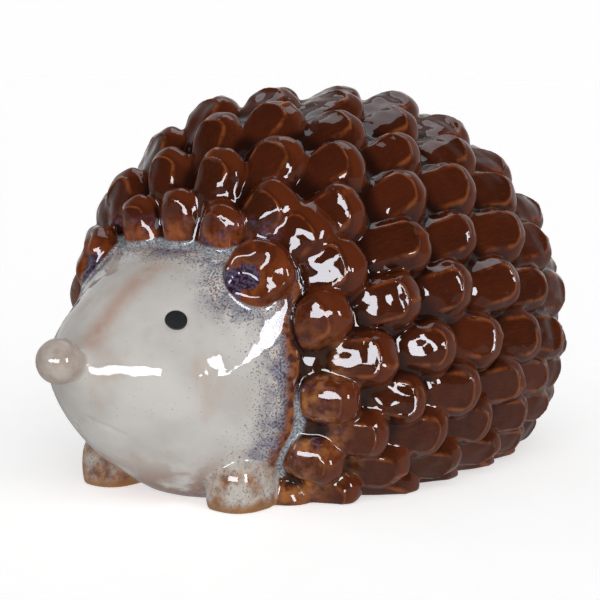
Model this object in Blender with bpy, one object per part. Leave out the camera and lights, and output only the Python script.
"""A glazed ceramic hedgehog ornament, 25 cm long, standing on its level underside.

It faces -Y, its left side is +X and the floor is z = 0. The coat is a dome covered with
rings of fat, overlapping lobes that point backwards. The smooth head grows out of its
front, with a nose ball, two flat eye dots, two ring-shaped ears and two front paws.
All lengths are in metres.
"""

import math

import bmesh
import bpy
from mathutils import Matrix, Vector

# The coat's dome: an ellipse across, a fuller curve along, measured to the lobes' tops
COAT_CENTRE = Vector((0.0, 0.0084, 0.0454))
COAT_HALF_WIDTH = 0.0824
COAT_RISE = 0.1005
COAT_DROP = 0.0745
COAT_FRONT = 0.0799
COAT_REAR = 0.1170
COAT_FULLNESS = 2.67
CORE_DEPTH = 0.0080
CORE_SEGMENTS = 64
CORE_RINGS = 40

# The lobes, set in rings round the long axis, every other ring half a step round
FIRST_RING = math.radians(46)
RING_STEP = math.radians(10.3)
LOBES_IN_RING = 15
REAR_START = math.radians(115)
REAR_RING_STEP = math.radians(7.5)
NARROWEST_PITCH = 0.019
REAR_PITCH = 0.0235
LAST_RING = math.radians(184)
REAR_SAG = 0.20
SIDE_SETBACK = math.radians(9)
SETBACK_START, SETBACK_END = math.radians(30), math.radians(78)
EAR_INDEX = 2
EAR_SETBACK = math.radians(10.5)
LOBE_OVERLAP = 1.50
LOBE_HALF_WIDTHS = (0.0105, 0.0124)
LOBE_HALF_HEIGHT = 0.0100
LOBE_FRONT_LENGTHS = (0.012, 0.021, 0.029)
LOBE_SLOPE = 0.28
LOBE_SEGMENTS = 16
LOBE_RINGS = 12
COAT_GRAIN = 0.0012
COAT_DETAIL = 0.0224

# The head: an egg from its widest ring forward to the muzzle, squarer above towards its back
HEAD_WIDEST = Vector((0.0, -0.0300, 0.0424))
HEAD_TIP = Vector((0.0, -0.1117, 0.0489))
HEAD_HALF_WIDTH = 0.0556
HEAD_HALF_HEIGHT = 0.0518
HEAD_TAPER = 1.85
HEAD_BLUNTNESS = 1.49
HEAD_CORNER = 6.0
HEAD_CORNER_SHARE = 0.60
HEAD_CORNER_FADE = 1.5
HEAD_BACK_Y = -0.0424
HEAD_SEGMENTS = 38
HEAD_RINGS = 16

NOSE_CENTRE = Vector((0.0, -0.1173, 0.0559))
NOSE_RADIUS = 0.0080

EYE_CENTRE = Vector((0.0250, -0.0865, 0.0687))
EYE_RADIUS = 0.0039
EYE_THICKNESS = 0.0008
EYE_STAND = 0.0003

EAR_CENTRE = Vector((0.0404, -0.0627, 0.0845))
EAR_AXIS = Vector((0.62, -0.72, 0.30)).normalized()
EAR_RADIUS = 0.0107
EAR_DISH_RADIUS = 0.0058
EAR_RIM_HEIGHT = 0.0030
EAR_DISH_DEPTH = 0.0028
EAR_ROOT = 0.0060

PAW_CENTRE = Vector((0.0312, -0.0605, 0.0070))
PAW_HALF_SIZE = Vector((0.0108, 0.0125, 0.0140))
PAW_SQUARENESS = 2.6

TURNED_SEGMENTS = 24
SHARP_ANGLE = math.radians(40)
CUT_GAP = 0.0003
FLOOR_WIDTH = 0.4
FLOOR_DEPTH = 0.1
MERGE_DISTANCE = 1e-6
ANGLE_NUDGE = 0.001
SIDES = {"left": 1, "right": -1}


def clear_scene():
    for old in list(bpy.data.objects):
        bpy.data.objects.remove(old, do_unlink=True)


def ceramic(name, colour, roughness):
    """One glazed colour as a Principled material."""
    made = bpy.data.materials.new(name)
    made.use_nodes = True
    surface = made.node_tree.nodes["Principled BSDF"]
    surface.inputs["Base Color"].default_value = (*colour, 1.0)
    surface.inputs["Roughness"].default_value = roughness
    surface.inputs["Metallic"].default_value = 0.0
    made.diffuse_color = (*colour, 1.0)
    return made


def add_object(name, mesh_builder, material=None):
    """A mesh object from a bmesh, which is used up. With no material it is a helper."""
    mesh = bpy.data.meshes.new(name)
    mesh_builder.to_mesh(mesh)
    mesh_builder.free()
    made = bpy.data.objects.new(name, mesh)
    bpy.context.scene.collection.objects.link(made)
    if material is None:
        made.hide_render = True
        made.display_type = "WIRE"
    else:
        mesh.materials.append(material)
        mesh.shade_smooth()
        mesh.set_sharp_from_angle(angle=SHARP_ANGLE)
    return made


def cut(target, cutter):
    step = target.modifiers.new(f"cut_{cutter.name}", "BOOLEAN")
    step.operation = "DIFFERENCE"
    step.solver = "EXACT"
    step.object = cutter


def mirrored(point, side):
    return Vector((point.x * side, point.y, point.z))


def smooth_step(low, high, value):
    share = min(max((value - low) / (high - low), 0.0), 1.0)
    return share * share * (3 - 2 * share)


def dome_ray(polar, turn):
    """The direction from the dome's centre: polar from the front, turn from the top.

    Behind the middle it sags, so that the rear pole lies low on the rump.
    """
    rise = COAT_RISE if math.cos(turn) > 0 else COAT_DROP
    across = Vector((COAT_HALF_WIDTH * math.sin(turn), 0, rise * math.cos(turn)))
    ray = across.normalized() * math.sin(polar) - Vector((0, math.cos(polar), 0))
    if polar > math.pi / 2:
        ray.z -= REAR_SAG * (1 - math.sin(polar))
    return ray.normalized()


def dome_surface(ray):
    """How far the dome lies along a ray, and its outward direction there."""
    height = COAT_RISE if ray.z > 0 else COAT_DROP
    length = COAT_REAR if ray.y > 0 else COAT_FRONT
    power = COAT_FULLNESS
    ring = (ray.x / COAT_HALF_WIDTH) ** 2 + (ray.z / height) ** 2
    along = abs(ray.y) / length
    reach = (ring ** (power / 2) + along**power) ** (-1 / power)
    pull = ring ** (power / 2 - 1)
    slope = Vector(
        (
            pull * ray.x / COAT_HALF_WIDTH**2,
            math.copysign(along ** (power - 1) / length, ray.y),
            pull * ray.z / height**2,
        )
    )
    return reach, slope.normalized()


def lift(ray, height):
    """The point that stands a height above the dome along a ray from its centre."""
    reach, outward = dome_surface(ray)
    return COAT_CENTRE + ray * (reach + height / outward.dot(ray))


def dome_point(polar, turn):
    return lift(dome_ray(polar, turn), 0.0)


def turn_arc(polar, turn):
    """Metres along the dome for each radian of turn."""
    arc = dome_point(polar, turn + ANGLE_NUDGE) - dome_point(polar, turn - ANGLE_NUDGE)
    return arc.length / (2 * ANGLE_NUDGE)


def lobe_rings():
    """Each ring's (polar angle, lobes in it), with fewer lobes towards the rear pole."""
    rings = []
    polar = FIRST_RING
    while polar < LAST_RING:
        girth = math.pi * (turn_arc(polar, 0) + turn_arc(polar, math.pi / 2))
        count = LOBES_IN_RING
        if girth / count < NARROWEST_PITCH:
            count = max(round(girth / REAR_PITCH), 1)
        rings.append((polar, count))
        polar += REAR_RING_STEP if polar > REAR_START else RING_STEP
    return rings


def lobe_places():
    """Each lobe's (polar, turn, half width, front length), the polar angle at its tip."""
    places = []
    for ring, (polar, count) in enumerate(lobe_rings()):
        step = 2 * math.pi / count
        stagger = 0.5 if ring % 2 and count > 1 else 0.0
        for index in range(count):
            turn = step * (index - count // 2 + stagger)
            setback = SIDE_SETBACK * smooth_step(SETBACK_START, SETBACK_END, abs(turn))
            tip = polar + setback * (1 - smooth_step(math.pi / 2, math.pi, polar))
            if ring == 0 and abs(index - count // 2) == EAR_INDEX:
                tip += EAR_SETBACK
            half_width = LOBE_OVERLAP / 4 * step * turn_arc(tip, turn)
            half_width = min(max(half_width, LOBE_HALF_WIDTHS[0]), LOBE_HALF_WIDTHS[1])
            front_length = LOBE_FRONT_LENGTHS[min(ring, len(LOBE_FRONT_LENGTHS) - 1)]
            places.append((tip, turn, half_width, front_length))
    return places


def add_lobe(builder, tip, turn, half_width, front_length):
    """One lobe: a ball drawn out forwards, laid along the dome, its tip raised."""
    poles_along_y = Matrix.Rotation(math.radians(-90), 4, "X")
    made = bmesh.ops.create_uvsphere(
        builder, u_segments=LOBE_SEGMENTS, v_segments=LOBE_RINGS, radius=1, matrix=poles_along_y
    )
    reach, _ = dome_surface(dome_ray(tip, turn))
    polar = tip - half_width / reach
    middle = dome_point(polar, turn)
    _, outward = dome_surface(dome_ray(polar, turn))
    backward = (dome_point(polar + ANGLE_NUDGE, turn) - middle).normalized()
    sideways = backward.cross(outward)
    for vert in made["verts"]:
        across, along, up = vert.co
        back = along * (half_width if along > 0 else front_length)
        height = (up - 1) * LOBE_HALF_HEIGHT + LOBE_SLOPE * back
        flat = middle + sideways * across * half_width + backward * back
        vert.co = lift((flat - COAT_CENTRE).normalized(), height)


def spine_coat(material):
    """The dome's core and its lobes, fused into one skin and then given fewer faces."""
    builder = bmesh.new()
    poles_along_y = Matrix.Rotation(math.radians(90), 4, "X")
    bmesh.ops.create_uvsphere(
        builder, u_segments=CORE_SEGMENTS, v_segments=CORE_RINGS, radius=1, matrix=poles_along_y
    )
    for vert in builder.verts:
        vert.co = lift(vert.co.normalized(), -CORE_DEPTH)
    for place in lobe_places():
        tip, turn, half_width, _ = place
        if dome_point(tip, turn).z > -half_width:
            add_lobe(builder, *place)
    coat = add_object("spine_coat", builder, material)
    fuse = coat.modifiers.new("one_skin", "REMESH")
    fuse.mode = "VOXEL"
    fuse.voxel_size = COAT_GRAIN
    simplify = coat.modifiers.new("fewer_faces", "DECIMATE")
    simplify.ratio = COAT_DETAIL
    return coat


def head_girth(share):
    """The head's girth at a share of the way from its widest ring to its tip."""
    return (1 - share**HEAD_TAPER) ** (1 / HEAD_BLUNTNESS)


def head_corner(share, angle):
    """How far the head's ring stands out of an ellipse: none below or at its front."""
    if math.cos(angle) < 0 or share > HEAD_CORNER_SHARE:
        return 1.0
    power = 2 + HEAD_CORNER * (1 - share / HEAD_CORNER_SHARE) ** HEAD_CORNER_FADE
    return (abs(math.sin(angle)) ** power + math.cos(angle) ** power) ** (-1 / power)


def head_egg(name, grow, material=None):
    """The head's egg, drawn by rings from its flat back to the muzzle."""
    builder = bmesh.new()
    start = (HEAD_BACK_Y - HEAD_WIDEST.y) / (HEAD_TIP.y - HEAD_WIDEST.y)
    rings = []
    for step in range(HEAD_RINGS):
        share = start + (1 - start) * math.sin(math.pi / 2 * step / HEAD_RINGS)
        girth = head_girth(share)
        centre = HEAD_WIDEST.lerp(HEAD_TIP, share)
        centre.y += grow if step == 0 else -grow * share
        ring = []
        for segment in range(HEAD_SEGMENTS):
            angle = 2 * math.pi * segment / HEAD_SEGMENTS
            corner = head_corner(share, angle)
            across = (HEAD_HALF_WIDTH * girth * corner + grow) * math.sin(angle)
            up = (HEAD_HALF_HEIGHT * girth * corner + grow) * math.cos(angle)
            ring.append(builder.verts.new(centre + Vector((across, 0, up))))
        rings.append(ring)
    for near, far in zip(rings, rings[1:]):
        for segment in range(HEAD_SEGMENTS):
            following = (segment + 1) % HEAD_SEGMENTS
            builder.faces.new((near[segment], near[following], far[following], far[segment]))
    builder.faces.new(rings[0])
    tip = builder.verts.new(HEAD_TIP - Vector((0, grow, 0)))
    for segment in range(HEAD_SEGMENTS):
        builder.faces.new((rings[-1][segment], rings[-1][(segment + 1) % HEAD_SEGMENTS], tip))
    bmesh.ops.recalc_face_normals(builder, faces=builder.faces[:])
    return add_object(name, builder, material)


def nose_ball(name, grow, material=None):
    builder = bmesh.new()
    bmesh.ops.create_icosphere(
        builder, subdivisions=3, radius=NOSE_RADIUS + grow, matrix=Matrix.Translation(NOSE_CENTRE)
    )
    return add_object(name, builder, material)


def turned(name, profile, centre, axis, material=None):
    """A solid turned about an axis from (radius, height) points, ends on the axis."""
    builder = bmesh.new()
    points = [builder.verts.new((radius, 0, height)) for radius, height in profile]
    edges = [builder.edges.new(pair) for pair in zip(points, points[1:])]
    bmesh.ops.spin(
        builder,
        geom=points + edges,
        axis=(0, 0, 1),
        cent=(0, 0, 0),
        angle=2 * math.pi,
        steps=TURNED_SEGMENTS,
        use_merge=True,
    )
    bmesh.ops.remove_doubles(builder, verts=builder.verts[:], dist=MERGE_DISTANCE)
    bmesh.ops.recalc_face_normals(builder, faces=builder.faces[:])
    placing = Matrix.Translation(centre) @ axis.to_track_quat("Z", "Y").to_matrix().to_4x4()
    bmesh.ops.transform(builder, matrix=placing, verts=builder.verts[:])
    return add_object(name, builder, material)


def head_normal(point):
    """The head's outward direction at a point on it."""
    share = (point.y - HEAD_WIDEST.y) / (HEAD_TIP.y - HEAD_WIDEST.y)
    centre = HEAD_WIDEST.lerp(HEAD_TIP, share)
    girth = head_girth(share)
    girth_rate = -HEAD_TAPER / HEAD_BLUNTNESS * share ** (HEAD_TAPER - 1) * girth ** (
        1 - HEAD_BLUNTNESS
    )
    across = point.x / HEAD_HALF_WIDTH
    up = (point.z - centre.z) / HEAD_HALF_HEIGHT
    lean = (HEAD_TIP.z - HEAD_WIDEST.z) * up / HEAD_HALF_HEIGHT
    slope = (girth * girth_rate + lean) / (HEAD_WIDEST.y - HEAD_TIP.y)
    return Vector((across / HEAD_HALF_WIDTH, slope, up / HEAD_HALF_HEIGHT)).normalized()


def eye_dot(name, side, grow, material=None):
    """A thin domed disc let into the face, so that it stands a little proud."""
    radius = EYE_RADIUS + grow
    bottom = EYE_STAND - EYE_THICKNESS - grow
    top = EYE_STAND + grow
    profile = (
        (0, bottom),
        (radius, bottom),
        (radius, top - EYE_STAND),
        (radius * 0.85, top - EYE_STAND * 0.3),
        (0, top),
    )
    axis = mirrored(head_normal(EYE_CENTRE), side)
    return turned(name, profile, mirrored(EYE_CENTRE, side), axis, material)


def ear_ring(name, side, grow, material=None):
    """A round boss with a thick rounded rim and a dished middle."""
    radius = EAR_RADIUS + grow
    crest = (EAR_RADIUS + EAR_DISH_RADIUS) / 2
    profile = (
        (0, -EAR_ROOT - grow),
        (radius * 0.9, -EAR_ROOT - grow),
        (radius, -EAR_ROOT * 0.6),
        (radius, -EAR_RIM_HEIGHT * 0.2),
        (radius * 0.96, EAR_RIM_HEIGHT * 0.5 + grow),
        (crest, EAR_RIM_HEIGHT + grow),
        (EAR_DISH_RADIUS, EAR_RIM_HEIGHT * 0.5 + grow),
        (EAR_DISH_RADIUS * 0.5, EAR_RIM_HEIGHT - EAR_DISH_DEPTH + grow),
        (0, EAR_RIM_HEIGHT - EAR_DISH_DEPTH * 1.1 + grow),
    )
    return turned(name, profile, mirrored(EAR_CENTRE, side), mirrored(EAR_AXIS, side), material)


def paw_block(name, side, grow, material=None):
    """A rounded block: a ball pushed out towards its box's corners."""
    builder = bmesh.new()
    bmesh.ops.create_uvsphere(builder, u_segments=20, v_segments=12, radius=1)
    for vert in builder.verts:
        total = sum(abs(part) ** PAW_SQUARENESS for part in vert.co)
        unit = vert.co * total ** (-1 / PAW_SQUARENESS)
        size = PAW_HALF_SIZE + Vector((grow, grow, grow))
        vert.co = mirrored(PAW_CENTRE, side) + Vector(a * b for a, b in zip(unit, size))
    return add_object(name, builder, material)


def floor_block():
    """Everything under the floor, with room on every side."""
    builder = bmesh.new()
    sides = Matrix.Diagonal((FLOOR_WIDTH, FLOOR_WIDTH, FLOOR_DEPTH, 1))
    bmesh.ops.create_cube(
        builder, size=1, matrix=Matrix.Translation((0, 0, -FLOOR_DEPTH / 2)) @ sides
    )
    return add_object("floor_cutter", builder)


def build():
    clear_scene()
    coat_glaze = ceramic("coat_glaze", (0.085, 0.024, 0.009), 0.08)
    face_glaze = ceramic("face_glaze", (0.58, 0.54, 0.49), 0.10)
    nose_glaze = ceramic("nose_glaze", (0.48, 0.40, 0.35), 0.10)
    ear_glaze = ceramic("ear_glaze", (0.14, 0.045, 0.018), 0.08)
    paw_glaze = ceramic("paw_glaze", (0.36, 0.22, 0.11), 0.12)
    eye_black = ceramic("eye_black", (0.006, 0.006, 0.007), 0.25)

    floor = floor_block()
    coat = spine_coat(coat_glaze)
    head = head_egg("head", 0.0, face_glaze)
    cut(coat, head_egg("head_cutter", CUT_GAP))
    nose_ball("nose", 0.0, nose_glaze)
    cut(head, nose_ball("nose_cutter", CUT_GAP))

    for word, side in SIDES.items():
        eye_dot(f"eye_{word}", side, 0.0, eye_black)
        cut(head, eye_dot(f"eye_{word}_cutter", side, CUT_GAP))
        ear_ring(f"ear_{word}", side, 0.0, ear_glaze)
        ear_cutter = ear_ring(f"ear_{word}_cutter", side, CUT_GAP)
        paw = paw_block(f"front_paw_{word}", side, 0.0, paw_glaze)
        paw_cutter = paw_block(f"front_paw_{word}_cutter", side, CUT_GAP)
        for body in (head, coat):
            cut(body, ear_cutter)
            cut(body, paw_cutter)
        cut(paw, floor)
    cut(head, floor)
    cut(coat, floor)


build()
